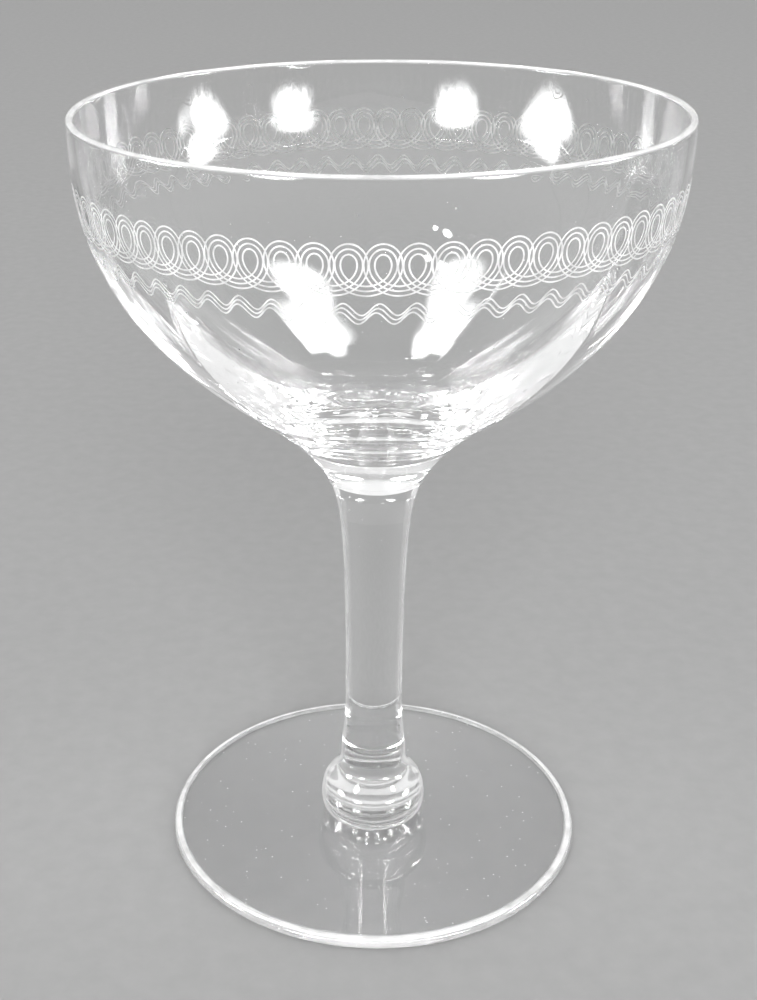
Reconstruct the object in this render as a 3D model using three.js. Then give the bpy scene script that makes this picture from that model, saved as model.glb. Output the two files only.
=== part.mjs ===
// Sherbet glass in clear glass: a thin blown bowl with wide optic panels on its inside, a solid drawn
// stem, a knop like a flattened ball, and a round flat foot. The four pieces are made apart and joined
// hot, end to end, on one axis. Sizes are in millimetres, with +Z up. The origin is on the axis, on the
// surface that the foot stands on, and -Y is the front.
import * as THREE from 'three';

// Foot
const FOOT_DIAMETER = 72.2;
const FOOT_EDGE_THICKNESS = 2.0;
const FOOT_CENTRE_THICKNESS = 3.0;
const FOOT_SEAT_LEDGE = 0.6;

// Knop
const KNOP_DIAMETER = 18.5;
const KNOP_BASE_DIAMETER = 16.6;
const KNOP_HEIGHT = 11.5;
const KNOP_BULGE_LEVEL = 2.8;
const KNOP_BASE_ROUND = 1.9;
const KNOP_SHOULDER = 5.4;
const KNOP_NECK = 4.4;

// Stem
const STEM_LENGTH = 53.6;
const STEM_END_DIAMETER = 11.5;
const STEM_WAIST_DIAMETER = 9.9;
const STEM_SPREAD_HEIGHT = 2.6;
const STEM_TAPER_LEVEL = 5.2;
const STEM_WAIST_LEVEL = 13.0;
const STEM_TOP_DIAMETER = 15.2;
const STEM_FLARE_HEIGHT = 4.9;
const STEM_FLARE_STEP = 1.4;

// Bowl
const RIM_DIAMETER = 92.1;
const BOWL_HEIGHT = 59.5;
const BOWL_PAD_LEDGE = 0.4;
const BOWL_FLARE_DIAMETER = 40.6;
const BOWL_FLARE_LEVEL = 13.0;
const BOWL_FLARE_ANGLE = 54.5;
const BOWL_FLARE_RUN = 11.6;
const BOWL_SIDE_HEIGHT = 12.0;
const RIM_WALL = 1.15;
const LOWER_WALL = 3.4;
const FLOOR_THICKNESS = 8.6;

// Optic panels, moulded into the inside of the bowl with a soft ridge between each two
const PANEL_COUNT = 8;
const PANEL_RIDGE = 0.5;
const PANEL_FADE = 16.0;

// Steps along curves and around the axis
const WIDE_STEPS = 64;
const SLIM_STEPS = 40;
const CURVE_STEPS = 10;
const EDGE_STEPS = 6;

const vec = (radius, level) => new THREE.Vector2(radius, level);
const line = (...points) => points;
const quadratic = (from, pull, to) => new THREE.QuadraticBezierCurve(from, pull, to).getPoints(CURVE_STEPS);
const cubic = (from, leave, arrive, to) =>
  new THREE.CubicBezierCurve(from, leave, arrive, to).getPoints(CURVE_STEPS);

// Points of a half circle that turns from `start` to `start` plus 180 degrees
function halfRound(centre, radius, start) {
  const arc = new THREE.EllipseCurve(centre.x, centre.y, radius, radius, start, start + Math.PI);
  return arc.getPoints(EDGE_STEPS);
}

// One outline from stretches that each start where the last one ended
function outline(...stretches) {
  const points = [];
  for (const point of stretches.flat()) {
    const last = points.at(-1);
    const repeated = last !== undefined && last.distanceTo(point) < 1e-6;
    if (!repeated) points.push(point);
  }
  return points;
}

// Turn an outline of (radius, level) points about the Z axis, with the first step at the front
function turned(points, steps) {
  return new THREE.LatheGeometry(points, steps).rotateX(Math.PI / 2);
}

function clearGlass(tint) {
  return new THREE.MeshStandardMaterial({
    color: tint,
    roughness: 0.04,
    metalness: 0,
    transparent: true,
    opacity: 0.35,
  });
}

// A disc with a half-round edge, a flat underside and a top that rises a little to the knop's seat
function footGeometry() {
  const edge = FOOT_EDGE_THICKNESS / 2;
  const rim = FOOT_DIAMETER / 2 - edge;
  const seat = KNOP_BASE_DIAMETER / 2 + FOOT_SEAT_LEDGE;
  const points = outline(
    line(vec(0, 0), vec(rim, 0)),
    halfRound(vec(rim, edge), edge, -Math.PI / 2),
    quadratic(
      vec(rim, FOOT_EDGE_THICKNESS),
      vec((rim + seat) / 2, FOOT_EDGE_THICKNESS),
      vec(seat, FOOT_CENTRE_THICKNESS),
    ),
    line(vec(0, FOOT_CENTRE_THICKNESS)),
  );
  return turned(points, WIDE_STEPS);
}

// A flattened ball with a short waisted neck that takes the stem's end
function knopGeometry() {
  const base = KNOP_BASE_DIAMETER / 2;
  const bulge = KNOP_DIAMETER / 2;
  const neck = STEM_END_DIAMETER / 2;
  const points = outline(
    line(vec(0, 0)),
    quadratic(vec(base, 0), vec(bulge, KNOP_BULGE_LEVEL - KNOP_BASE_ROUND), vec(bulge, KNOP_BULGE_LEVEL)),
    cubic(
      vec(bulge, KNOP_BULGE_LEVEL),
      vec(bulge, KNOP_BULGE_LEVEL + KNOP_SHOULDER),
      vec(neck, KNOP_HEIGHT - KNOP_NECK),
      vec(neck, KNOP_HEIGHT),
    ),
    line(vec(0, KNOP_HEIGHT)),
  );
  return turned(points, SLIM_STEPS);
}

// A solid rod that spreads at its foot and flares under the bowl
function stemGeometry() {
  const end = STEM_END_DIAMETER / 2;
  const waist = STEM_WAIST_DIAMETER / 2;
  const top = STEM_TOP_DIAMETER / 2;
  const flare = STEM_LENGTH - STEM_FLARE_HEIGHT;
  const points = outline(
    line(vec(0, 0)),
    cubic(
      vec(end, 0),
      vec(end, STEM_SPREAD_HEIGHT),
      vec(waist, STEM_TAPER_LEVEL),
      vec(waist, STEM_WAIST_LEVEL),
    ),
    cubic(
      vec(waist, STEM_WAIST_LEVEL),
      vec(waist, flare),
      vec(waist + STEM_FLARE_STEP, flare),
      vec(top, STEM_LENGTH),
    ),
    line(vec(0, STEM_LENGTH)),
  );
  return turned(points, SLIM_STEPS);
}

// The way that the bowl's outside leans away from the axis at the flare level
function flareLean() {
  const angle = THREE.MathUtils.degToRad(BOWL_FLARE_ANGLE);
  return vec(Math.sin(angle), Math.cos(angle));
}

// The bowl's outside, from the flare level up to the start of the rounded rim
function bowlSideCurve() {
  const lean = flareLean();
  const flare = vec(BOWL_FLARE_DIAMETER / 2, BOWL_FLARE_LEVEL);
  const rim = RIM_DIAMETER / 2;
  const level = BOWL_HEIGHT - RIM_WALL / 2;
  const reach = (rim - flare.x) / lean.x;
  return new THREE.CubicBezierCurve(
    flare,
    flare.clone().addScaledVector(lean, reach),
    vec(rim, level - BOWL_SIDE_HEIGHT),
    vec(rim, level),
  );
}

// The bowl's inside, from the rim down to the axis: the wall thickens towards the floor
function bowlInside(side) {
  const wall = [];
  for (let step = CURVE_STEPS; step >= 0; step -= 1) {
    const share = step / CURVE_STEPS;
    const along = side.getTangent(share);
    const thickness = RIM_WALL + (LOWER_WALL - RIM_WALL) * (1 - share) ** 2;
    const inward = vec(-along.y, along.x).multiplyScalar(thickness);
    wall.push(side.getPoint(share).add(inward));
  }
  const last = wall.at(-1);
  const lean = flareLean();
  const halfWayDown = (last.y - FLOOR_THICKNESS) / 2;
  const leave = last.clone().addScaledVector(lean, -halfWayDown / lean.y);
  const floor = cubic(last, leave, vec(last.x / 2, FLOOR_THICKNESS), vec(0, FLOOR_THICKNESS));
  return outline(wall, floor);
}

// How far a ridge stands at a point of the inside: it fades out at the rim and at the middle of the floor
function ridgeHeight(point) {
  const underRim = THREE.MathUtils.smoothstep(BOWL_HEIGHT - point.y, 0, PANEL_FADE);
  const fromAxis = Math.min(1, point.x / (BOWL_FLARE_DIAMETER / 2));
  return PANEL_RIDGE * underRim * fromAxis;
}

// 1 on a ridge and 0 in the middle of a panel, hollow between
function ridgeShape(turn) {
  const place = turn * PANEL_COUNT % 1;
  const fromRidge = Math.min(place, 1 - place);
  return (1 - 2 * fromRidge) ** 2;
}

// A deep saucer on a small pad, with a half-round rim and optic panels inside
function bowlGeometry() {
  const pad = STEM_TOP_DIAMETER / 2 + BOWL_PAD_LEDGE;
  const side = bowlSideCurve();
  const flare = side.getPoint(0);
  const underFlare = flare.clone().addScaledVector(flareLean(), -BOWL_FLARE_RUN);
  const rimCentre = vec((RIM_DIAMETER - RIM_WALL) / 2, BOWL_HEIGHT - RIM_WALL / 2);
  const outside = outline(
    line(vec(0, 0)),
    quadratic(vec(pad, 0), underFlare, flare),
    side.getPoints(CURVE_STEPS),
    halfRound(rimCentre, RIM_WALL / 2, 0),
  );
  const points = outline(outside, bowlInside(side));
  const geometry = turned(points, WIDE_STEPS);
  const position = geometry.attributes.position;
  for (let index = 0; index < position.count; index += 1) {
    const place = index % points.length;
    if (place < outside.length) continue;
    const point = points[place];
    if (point.x === 0) continue;
    const turn = Math.floor(index / points.length) / WIDE_STEPS;
    const share = 1 - ridgeHeight(point) * ridgeShape(turn) / point.x;
    position.setX(index, position.getX(index) * share);
    position.setY(index, position.getY(index) * share);
  }
  geometry.computeVertexNormals();
  return geometry;
}

function piece(name, geometry, tint, level) {
  const mesh = new THREE.Mesh(geometry, clearGlass(tint));
  mesh.name = name;
  mesh.position.z = level;
  return mesh;
}

// The pieces stand on each other, from the foot up
const KNOP_LEVEL = FOOT_CENTRE_THICKNESS;
const STEM_LEVEL = KNOP_LEVEL + KNOP_HEIGHT;
const BOWL_LEVEL = STEM_LEVEL + STEM_LENGTH;

const glass = new THREE.Group();
glass.name = 'sherbet_glass';
glass.add(piece('foot', footGeometry(), 0xe4ecee, 0));
glass.add(piece('knop', knopGeometry(), 0xe6eef0, KNOP_LEVEL));
glass.add(piece('stem', stemGeometry(), 0xe6eef0, STEM_LEVEL));
glass.add(piece('bowl', bowlGeometry(), 0xeaf1f3, BOWL_LEVEL));

export default glass;
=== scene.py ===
import math

import bpy
import numpy as np
from mathutils import Matrix, Quaternion, Vector


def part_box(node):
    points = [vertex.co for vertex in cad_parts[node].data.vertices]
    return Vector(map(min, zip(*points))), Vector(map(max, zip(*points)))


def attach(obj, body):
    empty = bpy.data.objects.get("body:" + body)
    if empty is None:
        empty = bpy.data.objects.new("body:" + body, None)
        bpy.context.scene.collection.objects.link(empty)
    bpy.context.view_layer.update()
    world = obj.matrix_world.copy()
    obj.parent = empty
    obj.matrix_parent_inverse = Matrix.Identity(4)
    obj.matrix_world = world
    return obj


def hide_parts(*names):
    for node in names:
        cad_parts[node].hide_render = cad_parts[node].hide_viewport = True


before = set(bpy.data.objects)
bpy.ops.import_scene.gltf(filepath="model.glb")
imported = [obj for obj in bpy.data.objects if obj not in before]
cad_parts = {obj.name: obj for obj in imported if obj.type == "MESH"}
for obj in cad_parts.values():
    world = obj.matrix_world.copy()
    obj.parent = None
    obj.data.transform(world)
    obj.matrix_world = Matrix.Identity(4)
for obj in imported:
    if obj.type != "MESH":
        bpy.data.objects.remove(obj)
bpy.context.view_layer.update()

# Sizes are in millimetres and angles in degrees. Levels are heights above the surface that the glass
# stands on.
MM = 0.001


def node_size(name):
    """A solid's radius, lowest level and highest level."""
    low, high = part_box(name)
    return high.x / MM, low.z / MM, high.z / MM


FOOT_RADIUS, TABLE_LEVEL, FOOT_TOP = node_size("foot")
KNOP_RADIUS, KNOP_LEVEL, STEM_LEVEL = node_size("knop")
STEM_TOP_RADIUS, _, BOWL_LEVEL = node_size("stem")
RIM_RADIUS, _, RIM_LEVEL = node_size("bowl")

# Foot
FOOT_EDGE_THICKNESS = 2.0
FOOT_SEAT_LEDGE = 0.6

# Knop
KNOP_BASE_RADIUS = 8.3
KNOP_BULGE_HEIGHT = 2.8
KNOP_BASE_ROUND = 1.9
KNOP_SHOULDER = 5.4
KNOP_NECK = 4.4

# Stem
STEM_END_RADIUS = 5.75
STEM_WAIST_RADIUS = 4.95
STEM_SPREAD_HEIGHT = 2.6
STEM_TAPER_HEIGHT = 5.2
STEM_WAIST_HEIGHT = 13.0
STEM_FLARE_HEIGHT = 4.9
STEM_FLARE_STEP = 1.4

# Bowl
BOWL_PAD_LEDGE = 0.4
BOWL_FLARE_RADIUS = 20.3
BOWL_FLARE_HEIGHT = 13.0
BOWL_FLARE_ANGLE = 54.5
BOWL_FLARE_RUN = 11.6
BOWL_SIDE_HEIGHT = 12.0
RIM_WALL = 1.15
LOWER_WALL = 3.4
FLOOR_THICKNESS = 8.6

# Optic panels on the inside of the bowl, with a soft ridge between each two
PANEL_COUNT = 8
PANEL_RIDGE = 0.5
PANEL_FADE = 16.0

# Slow unevenness of the blown wall: waves around, turn of the phase for each millimetre up, depth, start
BLOWN_WAVES = ((2, 0.11, 0.045, 0.4), (3, -0.16, 0.03, 1.9), (5, 0.07, 0.02, 3.1))

# Etched bands: a row of loops, drawn as three lines one inside the other, over three wavy lines.
# They rise a little to the right, because the glass stood askew when it was etched.
BAND_LEAN = 0.36
LOOP_COUNT = 67
LOOP_LEVEL = 115.72
LOOP_START = -1.6
LOOP_HALF_WIDTHS = (3.41, 2.73, 1.99)
LOOP_HALF_HEIGHTS = (3.51, 2.84, 2.14)
WAVE_COUNT = 60
WAVE_LEVEL = 110.32
WAVE_START = -2.04
WAVE_HALF_HEIGHT = 0.88
WAVE_LINE_STEP = 0.67
WAVE_LINE_SHIFT = -0.28
WAVE_LINES = 3
LINE_WIDTH = 0.23
LINE_CLEARANCE = 0.004
LINE_PROUD = 0.014
LINE_RIPPLE = 0.002

# Steps along curves and around the axis
AROUND = 256
CURVE_STEPS = 48
SIDE_STEPS = 72
EDGE_STEPS = 16
FLAT_STEPS = 6
LOOP_STEPS = 72
WAVE_STEPS = 32
FLOOR_STEPS = 96
# Steps along the bowl's side, to place the etched lines on it
PLACING_STEPS = 1000
# Closer points than this are one point
SAME_POINT = 1e-6
# Edges sharper than this are not smoothed
SHARP_ANGLE = 40.0
# A face this near to a fused level is on it
JOINT_TOLERANCE = 1e-3

# Glass: its index, its tint, which comes and goes in patches, and its faint wash marks
GLASS_INDEX = 1.52
GLASS_TINT = (0.996, 1.0, 0.999, 1.0)
NO_TINT = (1.0, 1.0, 1.0, 1.0)
TINT_PATCH = 60.0
WASH_MARK = 22.0
WASH_MARK_ROUGHNESS = 0.035
WASH_MARK_RANGE = (0.45, 0.8)

# Dust on the glass: spacing and radius of its coarse and fine specks, and the share of places that have one
COARSE_SPECKS = (1.5, 0.13)
FINE_SPECKS = (0.8, 0.06)
BOWL_DUST = 0.05
STEM_DUST = 0.02
FOOT_DUST = 0.3
FINE_DUST = 0.4
DUST_ROUGHNESS = 0.6
DUST_WHITE = 0.55

# Painted highlights on the edges: white painted into the glass where edges gather light. These values say how
# white they are, and where that starts and is full, in from the edge.
# On the foot the painted highlight ends before the edge, where a share of it is left.
FOOT_PAINTED_HIGHLIGHT = 0.9
FOOT_PAINTED_HIGHLIGHT_STARTS = (1.6, 1.1)
FOOT_PAINTED_HIGHLIGHT_ENDS = (0.5, 0.25)
FOOT_PAINTED_HIGHLIGHT_LEFT = 0.25
RIM_PAINTED_HIGHLIGHT = 0.75
RIM_PAINTED_HIGHLIGHT_STARTS = (0.55, 0.25)
STEM_PAINTED_HIGHLIGHT = 0.7
STEM_SLANT = (0.45, 0.8)
# The painted edge highlights are fainter in random patches: patch size, least share and noise range
PAINTED_HIGHLIGHT_PATCH = 6.0
PAINTED_HIGHLIGHT_PATCH_LEAST = 0.55
PAINTED_HIGHLIGHT_PATCH_RANGE = (0.3, 0.6)

# Etched lines: roughness, size of their patches and range of greys
ETCHED_ROUGHNESS = 0.6
ETCHED_PATCH = 2.0
ETCHED_DETAIL = 4.0
ETCHED_GREYS = (0.7, 1.0)
ETCHED_RANGE = (0.35, 0.6)

# Camera, from the rim's, the foot's and the etched bands' places in the picture
PICTURE_HEIGHT = 1000
FOCAL_PIXELS = 1512.6
CAMERA_PLACE = (-9.6, -227.57, 168.11)
CAMERA_PITCH = -24.92
CAMERA_ROLL = -0.45
FRAMING_PIXELS = (60.8, 7.5)
SENSOR_WIDTH = 36.0
NEAREST_SEEN = 10.0

# Oval lamps that show in the glass: turn from the front, rise, width and height as seen from the glass,
# lean, distance and brightness
LAMPS = (
    (-101.0, 64.5, 20.0, 29.0, -32.0, 8000.0, 50.0),
    (95.0, 66.0, 19.0, 33.0, 22.0, 8000.0, 50.0),
    (-36.0, -2.7, 24.0, 13.5, 0.0, 400.0, 45.0),
    (36.0, -2.7, 24.0, 13.5, 0.0, 400.0, 45.0),
    (-79.0, 0.6, 27.0, 19.0, 0.0, 400.0, 45.0),
    (79.0, 0.6, 27.0, 19.0, 0.0, 400.0, 45.0),
    (-56.5, 60.8, 6.6, 3.4, 0.0, 8000.0, 60.0),
    (-43.5, 61.6, 3.2, 2.8, 0.0, 8000.0, 60.0),
)
# Two more, in the same way, that only the stem and the knop show, and so the foot that mirrors these
STEM_LAMPS = (
    (-52.0, 48.0, 15.0, 25.0, 0.0, 8000.0, 60.0),
    (60.0, 48.0, 15.0, 25.0, 0.0, 8000.0, 60.0),
)
# Where their brightness starts to fade, from the middle to the edge
LAMP_FADE = 0.5
# The share of that brightness that they throw through the glass on dull surfaces
LAMP_LIGHT = 0.28
# A wide soft lamp in front that lights the floor and the etched lines and is not seen in the glass
SOFT_LAMP = (0.0, 22.0, 40.0, 40.0, 0.0, 3000.0, 4.8)
# Its twin, which is not seen either, lights dull surfaces through the glass, at this many times its level
THROUGH_LIGHT = 1.8
# All lamps are aimed at this level on the axis
LAMP_AIM = 120.0

# Surroundings
PALE = 0.43
FLOOR_RADIUS = 12000.0
FLOOR_GAP = 0.1
FLOOR_ROUGHNESS = 0.85
FLOOR_PATCH = 4.0
FLOOR_DETAIL = 5.0
FLOOR_UNEVENNESS = 0.03
FLOOR_RANGE = (0.3, 0.7)
# The sky's greys, by the upright part of the direction
SKY = ((0.0, 1.0), (0.45, 1.0), (0.7, 0.75), (1.0, 0.6))

# Light is followed for long, because it runs round in the thick glass
BOUNCES = 80
CLEAR_BOUNCES = 32
BRIGHTEST_SAMPLE = 60.0

scene = bpy.context.scene


def bezier(*controls, steps=CURVE_STEPS):
    """Points along a curve from the first control to the last, drawn towards those between."""
    along = np.linspace(0, 1, steps + 1)[:, None]
    rows = [np.tile(np.array(control, float), (steps + 1, 1)) for control in controls]
    while len(rows) > 1:
        rows = [first + (second - first) * along for first, second in zip(rows, rows[1:])]
    return rows[0]


def half_round(centre, radius, start):
    """Points of a half circle that turns from `start` to `start` plus 180 degrees."""
    turn = np.radians(start) + np.linspace(0, math.pi, EDGE_STEPS + 1)
    return np.array(centre) + radius * np.stack([np.cos(turn), np.sin(turn)], axis=1)


def outline(*stretches):
    """One outline from stretches that each start where the last one ended."""
    points = np.concatenate(stretches)
    steps = np.linalg.norm(np.diff(points, axis=0), axis=1)
    return points[np.concatenate([[True], steps > SAME_POINT])]


def smooth_step(value, low, high):
    share = np.clip((value - low) / (high - low), 0, 1)
    return share * share * (3 - 2 * share)


def around(radius, level, turn):
    """Points at a turn in radians from the front, in metres."""
    radius, level, turn = np.broadcast_arrays(radius, level, turn)
    return MM * np.stack([radius * np.sin(turn), -radius * np.cos(turn), level], axis=-1)


def new_piece(name, vertices, faces):
    mesh = bpy.data.meshes.new(name)
    mesh.from_pydata(vertices.tolist(), [], faces)
    mesh.shade_smooth()
    mesh.set_sharp_from_angle(angle=math.radians(SHARP_ANGLE))
    piece = bpy.data.objects.new(name, mesh)
    scene.collection.objects.link(piece)
    return piece


def turned(name, points, inset=None):
    """A closed piece, turned from an outline of (radius, level) points that starts and ends on the axis.

    `inset` says how far each point of each ring is drawn in to the axis."""
    turns = np.linspace(0, 2 * math.pi, AROUND, endpoint=False)
    rings = points[1:-1]
    radius = rings[:, :1] - (0 if inset is None else inset(rings, turns))
    grid = around(radius, rings[:, 1:], turns).reshape(-1, 3)
    poles = around(np.zeros(2), points[[0, -1], 1], 0.0)
    vertices = np.concatenate([grid, poles])
    column = np.arange(AROUND)
    beside = (column + 1) % AROUND
    base = AROUND * np.arange(len(rings) - 1)[:, None]
    quads = np.stack([base + column, base + beside, base + AROUND + beside, base + AROUND + column], axis=-1)
    last = AROUND * (len(rings) - 1)
    first_pole = np.full(AROUND, len(grid))
    lower = np.stack([first_pole, beside, column], axis=-1)
    upper = np.stack([first_pole + 1, last + column, last + beside], axis=-1)
    faces = quads.reshape(-1, 4).tolist() + lower.tolist() + upper.tolist()
    return new_piece(name, vertices, faces)


def foot_outline():
    edge = FOOT_EDGE_THICKNESS / 2
    rim = FOOT_RADIUS - edge
    seat = KNOP_BASE_RADIUS + FOOT_SEAT_LEDGE
    middle = ((rim + seat) / 2, FOOT_EDGE_THICKNESS)
    return outline(
        bezier((0, 0), (rim, 0), steps=FLAT_STEPS),
        half_round((rim, edge), edge, -90),
        bezier((rim, FOOT_EDGE_THICKNESS), middle, (seat, FOOT_TOP)),
        bezier((seat, FOOT_TOP), (KNOP_BASE_RADIUS, FOOT_TOP), steps=1),
        bezier((KNOP_BASE_RADIUS, FOOT_TOP), (0, FOOT_TOP), steps=FLAT_STEPS),
    )


def knop_outline():
    bulge = KNOP_LEVEL + KNOP_BULGE_HEIGHT
    return outline(
        bezier((0, KNOP_LEVEL), (KNOP_BASE_RADIUS, KNOP_LEVEL), steps=FLAT_STEPS),
        bezier((KNOP_BASE_RADIUS, KNOP_LEVEL), (KNOP_RADIUS, bulge - KNOP_BASE_ROUND), (KNOP_RADIUS, bulge)),
        bezier(
            (KNOP_RADIUS, bulge),
            (KNOP_RADIUS, bulge + KNOP_SHOULDER),
            (STEM_END_RADIUS, STEM_LEVEL - KNOP_NECK),
            (STEM_END_RADIUS, STEM_LEVEL),
        ),
        bezier((STEM_END_RADIUS, STEM_LEVEL), (0, STEM_LEVEL), steps=FLAT_STEPS),
    )


def stem_outline():
    flare = BOWL_LEVEL - STEM_FLARE_HEIGHT
    waist = (STEM_WAIST_RADIUS, STEM_LEVEL + STEM_WAIST_HEIGHT)
    return outline(
        bezier((0, STEM_LEVEL), (STEM_END_RADIUS, STEM_LEVEL), steps=FLAT_STEPS),
        bezier(
            (STEM_END_RADIUS, STEM_LEVEL),
            (STEM_END_RADIUS, STEM_LEVEL + STEM_SPREAD_HEIGHT),
            (STEM_WAIST_RADIUS, STEM_LEVEL + STEM_TAPER_HEIGHT),
            waist,
        ),
        bezier(
            waist,
            (STEM_WAIST_RADIUS, flare),
            (STEM_WAIST_RADIUS + STEM_FLARE_STEP, flare),
            (STEM_TOP_RADIUS, BOWL_LEVEL),
        ),
        bezier((STEM_TOP_RADIUS, BOWL_LEVEL), (0, BOWL_LEVEL), steps=FLAT_STEPS),
    )


FLARE_LEAN = np.array([math.sin(math.radians(BOWL_FLARE_ANGLE)), math.cos(math.radians(BOWL_FLARE_ANGLE))])
FLARE = np.array([BOWL_FLARE_RADIUS, BOWL_LEVEL + BOWL_FLARE_HEIGHT])


def bowl_side(steps):
    """The bowl's outside, from the flare up to the start of the rounded rim."""
    level = RIM_LEVEL - RIM_WALL / 2
    reach = (RIM_RADIUS - FLARE[0]) / FLARE_LEAN[0]
    return bezier(
        FLARE,
        FLARE + FLARE_LEAN * reach,
        (RIM_RADIUS, level - BOWL_SIDE_HEIGHT),
        (RIM_RADIUS, level),
        steps=steps,
    )


def bowl_outside():
    pad = STEM_TOP_RADIUS + BOWL_PAD_LEDGE
    return outline(
        bezier((0, BOWL_LEVEL), (STEM_TOP_RADIUS, BOWL_LEVEL), steps=FLAT_STEPS),
        bezier((STEM_TOP_RADIUS, BOWL_LEVEL), (pad, BOWL_LEVEL), steps=1),
        bezier((pad, BOWL_LEVEL), FLARE - FLARE_LEAN * BOWL_FLARE_RUN, FLARE),
        bowl_side(SIDE_STEPS),
        half_round((RIM_RADIUS - RIM_WALL / 2, RIM_LEVEL - RIM_WALL / 2), RIM_WALL / 2, 0),
    )


def bowl_inside():
    """From the rim down to the axis: the wall thickens towards the floor."""
    side = bowl_side(SIDE_STEPS)
    along = np.gradient(side, axis=0, edge_order=2)
    along /= np.linalg.norm(along, axis=1, keepdims=True)
    share = np.linspace(0, 1, SIDE_STEPS + 1)[:, None]
    thickness = RIM_WALL + (LOWER_WALL - RIM_WALL) * (1 - share) ** 2
    wall = (side + thickness * np.stack([-along[:, 1], along[:, 0]], axis=1))[::-1]
    last = wall[-1]
    floor = BOWL_LEVEL + FLOOR_THICKNESS
    half_way_down = (last[1] - floor) / 2
    leave = last - FLARE_LEAN * half_way_down / FLARE_LEAN[1]
    return outline(wall, bezier(last, leave, (last[0] / 2, floor), (0, floor)))


def bowl_inset(first_inside):
    """Draws the inside in at the ridges between the panels, and a little unevenly all over."""

    def inset(rings, turns):
        radius, level = rings[:, :1], rings[:, 1:]
        fade = smooth_step(RIM_LEVEL - level, 0, PANEL_FADE) * np.minimum(1, radius / BOWL_FLARE_RADIUS)
        place = turns * PANEL_COUNT / (2 * math.pi) % 1
        from_ridge = np.minimum(place, 1 - place)
        drawn_in = PANEL_RIDGE * (1 - 2 * from_ridge) ** 2
        for count, phase, depth, start in BLOWN_WAVES:
            drawn_in = drawn_in + depth * np.sin(count * turns + phase * level + start)
        inside = np.arange(len(rings))[:, None] >= first_inside
        return np.where(inside, fade * drawn_in, 0)

    return inset


def make_bowl():
    outside = bowl_outside()
    points = outline(outside, bowl_inside())
    return turned("bowl_glass", points, bowl_inset(len(outside) - 1))


def etched_line(turn, level, climb, lift):
    """Corners of a closed strip on the bowl's outside: a point of it is `climb` along the side above `level`.

    `lift` says how far the strip's face stands proud of the glass at each point."""
    side = bowl_side(PLACING_STEPS)
    run = np.concatenate([[0], np.cumsum(np.linalg.norm(np.diff(side, axis=0), axis=1))])
    slope = np.gradient(side, run, axis=0)
    place = np.interp(level, side[:, 1], run) + climb
    radius, height, out, up = (np.interp(place, run, row) for row in (*side.T, slope[:, 1], -slope[:, 0]))
    centre = around(radius, height, turn)
    normal = around(out, up, turn)
    normal /= np.linalg.norm(normal, axis=1, keepdims=True)
    ahead = np.roll(centre, -1, axis=0) - np.roll(centre, 1, axis=0)
    across = np.cross(normal, ahead)
    across *= MM * LINE_WIDTH / 2 / np.linalg.norm(across, axis=1, keepdims=True)
    top = normal * MM * lift[:, None]
    bottom = normal * MM * LINE_CLEARANCE
    left, right = centre + across, centre - across
    return np.stack([left + top, right + top, right + bottom, left + bottom], axis=1)


def etched_band(name, lines):
    """One piece from closed strips, each with four corners at every step."""
    faces = []
    start = 0
    for line in lines:
        here = start + 4 * np.arange(len(line))
        ahead = np.roll(here, -1)
        for corner in range(4):
            beside = (corner + 1) % 4
            faces += np.stack([here + corner, here + beside, ahead + beside, ahead + corner], axis=1).tolist()
        start += 4 * len(line)
    return new_piece(name, np.concatenate(lines).reshape(-1, 3), faces)


def make_loops():
    step = np.linspace(0, 2 * math.pi * LOOP_COUNT, LOOP_COUNT * LOOP_STEPS, endpoint=False)
    radius = np.interp(LOOP_LEVEL, *bowl_side(PLACING_STEPS).T[::-1])
    lines = []
    for number, (half_width, half_height) in enumerate(zip(LOOP_HALF_WIDTHS, LOOP_HALF_HEIGHTS)):
        turn = math.radians(LOOP_START) + step / LOOP_COUNT - half_width / radius * np.sin(step)
        climb = half_height * np.cos(step) + BAND_LEAN * np.sin(turn)
        lift = LINE_PROUD + LINE_RIPPLE * (number + np.sin(step))
        lines.append(etched_line(turn, LOOP_LEVEL, climb, lift))
    return etched_band("etched_loops", lines)


def make_waves():
    step = np.linspace(0, 2 * math.pi * WAVE_COUNT, WAVE_COUNT * WAVE_STEPS, endpoint=False)
    lines = []
    for number in range(WAVE_LINES):
        turn = math.radians(WAVE_START + WAVE_LINE_SHIFT * number) + step / WAVE_COUNT
        climb = WAVE_HALF_HEIGHT * np.cos(step) - WAVE_LINE_STEP * number + BAND_LEAN * np.sin(turn)
        lift = np.full(len(step), LINE_PROUD)
        lines.append(etched_line(turn, WAVE_LEVEL, climb, lift))
    return etched_band("etched_waves", lines)


def add(tree, kind, inputs=None, **settings):
    """A new node, with its settings and with its inputs set or linked."""
    node = tree.nodes.new(kind)
    for name, value in settings.items():
        setattr(node, name, value)
    for name, value in (inputs or {}).items():
        if isinstance(value, bpy.types.NodeSocket):
            tree.links.new(value, node.inputs[name])
        else:
            node.inputs[name].default_value = value
    return node


def new_material(name, **sockets):
    """A material and its node tree, shader and place on the object."""
    material = bpy.data.materials.new(name)
    material.use_nodes = True
    tree = material.node_tree
    shader = tree.nodes["Principled BSDF"]
    for socket, value in sockets.items():
        shader.inputs[socket.replace("_", " ")].default_value = value
    place = add(tree, "ShaderNodeTexCoord").outputs["Object"]
    return material, tree, shader, place


def math_node(tree, operation, first, second):
    return add(tree, "ShaderNodeMath", {0: first, 1: second}, operation=operation).outputs[0]


def ramp(tree, value, low, high, from_low=0.0, from_high=1.0):
    """`value`, spread from one range to another and held inside it."""
    inputs = {"Value": value, "From Min": from_low, "From Max": from_high, "To Min": low, "To Max": high}
    return add(tree, "ShaderNodeMapRange", inputs).outputs["Result"]


def noise(tree, place, wavelength, detail=3.0):
    inputs = {"Vector": place, "Scale": 1 / (MM * wavelength), "Detail": detail}
    return add(tree, "ShaderNodeTexNoise", inputs).outputs["Fac"]


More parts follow.
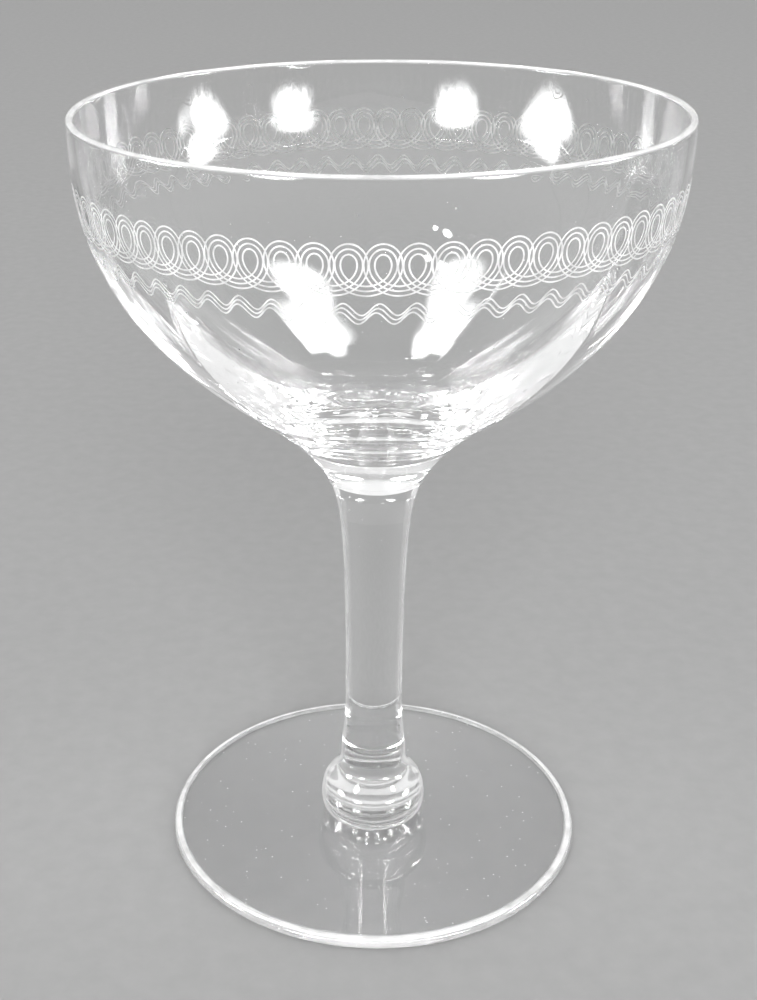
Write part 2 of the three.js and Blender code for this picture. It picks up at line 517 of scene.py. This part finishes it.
def specks(tree, place, spacing, radius, share):
    """1 on small round specks, one in each of a share of the cells."""
    cells = add(tree, "ShaderNodeTexVoronoi", {"Vector": place, "Scale": 1 / (MM * spacing)})
    near = math_node(tree, "LESS_THAN", cells.outputs["Distance"], radius / spacing)
    parts = add(tree, "ShaderNodeSeparateColor", {"Color": cells.outputs["Color"]})
    chosen = math_node(tree, "LESS_THAN", parts.outputs["Red"], share)
    return math_node(tree, "MULTIPLY", near, chosen)


def glass(name, dust_share, edge):
    """Clear glass with faint wash marks, specks of dust and a painted highlight on its edges. `edge` gives
    how white the painted highlight makes a place on an edge.
    """
    material, tree, shader, place = new_material(name, IOR=GLASS_INDEX)
    marks = ramp(tree, noise(tree, place, WASH_MARK), 0.0, WASH_MARK_ROUGHNESS, *WASH_MARK_RANGE)
    coarse = specks(tree, place, *COARSE_SPECKS, dust_share)
    fine = specks(tree, place, *FINE_SPECKS, dust_share * FINE_DUST)
    dust = math_node(tree, "MAXIMUM", coarse, fine)
    rough = math_node(tree, "MAXIMUM", marks, math_node(tree, "MULTIPLY", dust, DUST_ROUGHNESS))
    # The painted edge highlight, fainter in random patches
    patchy = ramp(tree, noise(tree, place, PAINTED_HIGHLIGHT_PATCH), PAINTED_HIGHLIGHT_PATCH_LEAST, 1.0, *PAINTED_HIGHLIGHT_PATCH_RANGE)
    painted_edge_highlight = math_node(tree, "MULTIPLY", edge(tree, place), patchy)
    # White from the specks of dust, which are real, and from the painted edge highlight
    white = math_node(tree, "MAXIMUM", math_node(tree, "MULTIPLY", dust, DUST_WHITE), painted_edge_highlight)
    clear = math_node(tree, "SUBTRACT", 1.0, white)
    colour = add(tree, "ShaderNodeMix", {"Factor": noise(tree, place, TINT_PATCH)}, data_type="RGBA")
    colour.inputs["A"].default_value = GLASS_TINT
    colour.inputs["B"].default_value = NO_TINT
    tree.links.new(colour.outputs["Result"], shader.inputs["Base Color"])
    tree.links.new(rough, shader.inputs["Roughness"])
    tree.links.new(clear, shader.inputs["Transmission Weight"])
    return material


def foot_painted_highlight(tree, place):
    """Painted highlight: the foot's edge is painted white where it gathers light."""
    flat = {0: place, 1: (1.0, 1.0, 0.0)}
    off_axis = add(tree, "ShaderNodeVectorMath", flat, operation="MULTIPLY").outputs["Vector"]
    radius = add(tree, "ShaderNodeVectorMath", {0: off_axis}, operation="LENGTH").outputs["Value"]
    starts = (MM * (FOOT_RADIUS - inwards) for inwards in FOOT_PAINTED_HIGHLIGHT_STARTS)
    ends = (MM * (FOOT_RADIUS - inwards) for inwards in FOOT_PAINTED_HIGHLIGHT_ENDS)
    inner = ramp(tree, radius, 0.0, FOOT_PAINTED_HIGHLIGHT, *starts)
    outer = ramp(tree, radius, 1.0, FOOT_PAINTED_HIGHLIGHT_LEFT, *ends)
    return math_node(tree, "MULTIPLY", inner, outer)


def rim_painted_highlight(tree, place):
    """A painted highlight on the bowl's rim, in the same way."""
    level = add(tree, "ShaderNodeSeparateXYZ", {0: place}).outputs["Z"]
    starts = (MM * (RIM_LEVEL - inwards) for inwards in RIM_PAINTED_HIGHLIGHT_STARTS)
    return ramp(tree, level, 0.0, RIM_PAINTED_HIGHLIGHT, *starts)


def stem_painted_highlight(tree, place):
    """A fainter painted highlight on the sides of the stem and the knop, where they are seen at a slant."""
    slant = add(tree, "ShaderNodeLayerWeight", {"Blend": 0.5}).outputs["Facing"]
    return ramp(tree, slant, 0.0, STEM_PAINTED_HIGHLIGHT, *STEM_SLANT)


def fused_joint():
    """The faces at which two pieces are melted into one: light passes straight on."""
    return new_material("fused_joint", Alpha=0.0, Transmission_Weight=1.0, Roughness=0.0)[0]


def link_grey(tree, grey, shader):
    colour = add(tree, "ShaderNodeCombineColor", {0: grey, 1: grey, 2: grey})
    tree.links.new(colour.outputs[0], shader.inputs["Base Color"])


def etched_white():
    """Acid-frosted glass, white and a little patchy."""
    material, tree, shader, place = new_material("etched_white", Roughness=ETCHED_ROUGHNESS)
    patches = noise(tree, place, ETCHED_PATCH, ETCHED_DETAIL)
    link_grey(tree, ramp(tree, patches, *ETCHED_GREYS, *ETCHED_RANGE), shader)
    return material


def dress(piece, material, node=None, joints=()):
    """Gives a piece its material and its place in the frame.

    `joints` are the levels and radii of its fused faces."""
    mesh = piece.data
    mesh.materials.append(material)
    if joints:
        mesh.materials.append(FUSED)
    for level, radius in joints:
        for face in mesh.polygons:
            corners = [mesh.vertices[index].co / MM for index in face.vertices]
            flat = all(abs(corner.z - level) < JOINT_TOLERANCE for corner in corners)
            if flat and all(corner.xy.length < radius + JOINT_TOLERANCE for corner in corners):
                face.material_index = 1
    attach(piece, "root")
    if node:
        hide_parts(node)


def add_camera():
    data = bpy.data.cameras.new("camera")
    data.sensor_width = SENSOR_WIDTH
    data.lens = FOCAL_PIXELS * SENSOR_WIDTH / PICTURE_HEIGHT
    data.shift_x, data.shift_y = (pixels / PICTURE_HEIGHT for pixels in FRAMING_PIXELS)
    data.clip_start = NEAREST_SEEN * MM
    camera = bpy.data.objects.new("camera", data)
    pitch = Matrix.Rotation(math.radians(90 + CAMERA_PITCH), 4, "X")
    roll = Matrix.Rotation(math.radians(CAMERA_ROLL), 4, "Z")
    camera.matrix_world = Matrix.Translation(Vector(CAMERA_PLACE) * MM) @ pitch @ roll
    scene.collection.objects.link(camera)
    scene.camera = camera


def add_lamp(name, turn, rise, width, height, lean, distance, brightness):
    """An oval lamp that is as bright as `brightness` times a white surface in plain light."""
    turn, rise = math.radians(turn), math.radians(rise)
    away = Vector((math.cos(rise) * math.sin(turn), -math.cos(rise) * math.cos(turn), math.sin(rise)))
    data = bpy.data.lights.new(name, "AREA")
    data.shape = "ELLIPSE"
    data.size = 2 * distance * MM * math.tan(math.radians(width / 2))
    data.size_y = 2 * distance * MM * math.tan(math.radians(height / 2))
    data.energy = brightness * math.pi * math.pi * data.size * data.size_y / 4
    lamp = bpy.data.objects.new(name, data)
    lamp.location = Vector((0, 0, LAMP_AIM * MM)) + away * distance * MM
    lean = Quaternion((0, 0, 1), math.radians(lean))
    lamp.rotation_euler = (away.to_track_quat("Z", "Y") @ lean).to_euler()
    lamp.visible_camera = False
    scene.collection.objects.link(lamp)
    return lamp


def shine(lamp, direct, thrown, fade):
    """Sets what a lamp shows in the glass and what it throws through the glass on dull surfaces.

    With `fade`, its brightness falls off to its edge."""
    lamp.visible_diffuse = False
    lamp.data.use_nodes = True
    tree = lamp.data.node_tree
    dull = add(tree, "ShaderNodeLightPath").outputs["Diffuse Depth"]
    strength = ramp(tree, dull, direct, thrown)
    if fade:
        place = add(tree, "ShaderNodeNewGeometry").outputs["Parametric"]
        middle = {"Vector": place, 1: (0.5, 0.5, 0.0)}
        off = add(tree, "ShaderNodeVectorMath", middle, operation="DISTANCE").outputs["Value"]
        kept = ramp(tree, off, 1.0, 0.0, LAMP_FADE / 2, 0.5)
        strength = math_node(tree, "MULTIPLY", strength, math_node(tree, "POWER", kept, 2.0))
    tree.links.new(strength, tree.nodes["Emission"].inputs["Strength"])


def add_lamps():
    for number, numbers in enumerate(LAMPS):
        shine(add_lamp(f"lamp_{number}", *numbers), 1.0, LAMP_LIGHT, True)
    shown_in = bpy.data.collections.new("stem_lamps_show_in")
    shown_in.objects.link(stem)
    shown_in.objects.link(knop)
    for number, numbers in enumerate(STEM_LAMPS):
        lamp = add_lamp(f"stem_lamp_{number}", *numbers)
        lamp.light_linking.receiver_collection = shown_in
        shine(lamp, 1.0, 0.0, True)
    soft = add_lamp("soft_lamp", *SOFT_LAMP)
    soft.visible_glossy = False
    soft.visible_transmission = False
    through = add_lamp("soft_lamp_through_glass", *SOFT_LAMP)
    through.visible_glossy = False
    shine(through, 0.0, THROUGH_LIGHT, False)


def add_sky():
    world = bpy.data.worlds.new("studio")
    world.use_nodes = True
    tree = world.node_tree
    direction = add(tree, "ShaderNodeTexCoord").outputs["Generated"]
    height = add(tree, "ShaderNodeSeparateXYZ", {0: direction}).outputs["Z"]
    colours = add(tree, "ShaderNodeValToRGB", {"Fac": height})
    elements = colours.color_ramp.elements
    while len(elements) < len(SKY):
        elements.new(0.5)
    for element, (position, grey) in zip(elements, SKY):
        element.position = position
        element.color = (grey, grey, grey, 1.0)
    tree.links.new(colours.outputs["Color"], tree.nodes["Background"].inputs["Color"])
    scene.world = world


def add_floor():
    turns = np.linspace(0, 2 * math.pi, FLOOR_STEPS, endpoint=False)
    corners = around(FLOOR_RADIUS, TABLE_LEVEL - FLOOR_GAP, turns)
    floor = new_piece("floor", corners, [list(range(len(corners)))])
    settings = {"Roughness": FLOOR_ROUGHNESS, "Specular_IOR_Level": 0.0}
    material, tree, shader, place = new_material("pale_floor", **settings)
    greys = (PALE * (1 - FLOOR_UNEVENNESS), PALE * (1 + FLOOR_UNEVENNESS))
    patches = noise(tree, place, FLOOR_PATCH, FLOOR_DETAIL)
    link_grey(tree, ramp(tree, patches, *greys, *FLOOR_RANGE), shader)
    floor.data.materials.append(material)


FUSED = fused_joint()
BOWL_GLASS = glass("bowl_glass", BOWL_DUST, rim_painted_highlight)
STEM_GLASS = glass("stem_glass", STEM_DUST, stem_painted_highlight)
FOOT_GLASS = glass("foot_glass", FOOT_DUST, foot_painted_highlight)
ETCHED = etched_white()

foot = turned("foot_glass", foot_outline())
knop = turned("knop_glass", knop_outline())
stem = turned("stem_glass", stem_outline())
bowl = make_bowl()

dress(foot, FOOT_GLASS, "foot", [(KNOP_LEVEL, KNOP_BASE_RADIUS)])
dress(knop, STEM_GLASS, "knop", [(KNOP_LEVEL, KNOP_BASE_RADIUS), (STEM_LEVEL, STEM_END_RADIUS)])
dress(stem, STEM_GLASS, "stem", [(STEM_LEVEL, STEM_END_RADIUS), (BOWL_LEVEL, STEM_TOP_RADIUS)])
dress(bowl, BOWL_GLASS, "bowl", [(BOWL_LEVEL, STEM_TOP_RADIUS)])
dress(make_loops(), ETCHED)
dress(make_waves(), ETCHED)

add_camera()
add_lamps()
add_sky()
add_floor()

scene.view_settings.view_transform = "Standard"
scene.cycles.max_bounces = BOUNCES
scene.cycles.transmission_bounces = BOUNCES
scene.cycles.glossy_bounces = BOUNCES
scene.cycles.transparent_max_bounces = CLEAR_BOUNCES
scene.cycles.sample_clamp_indirect = BRIGHTEST_SAMPLE
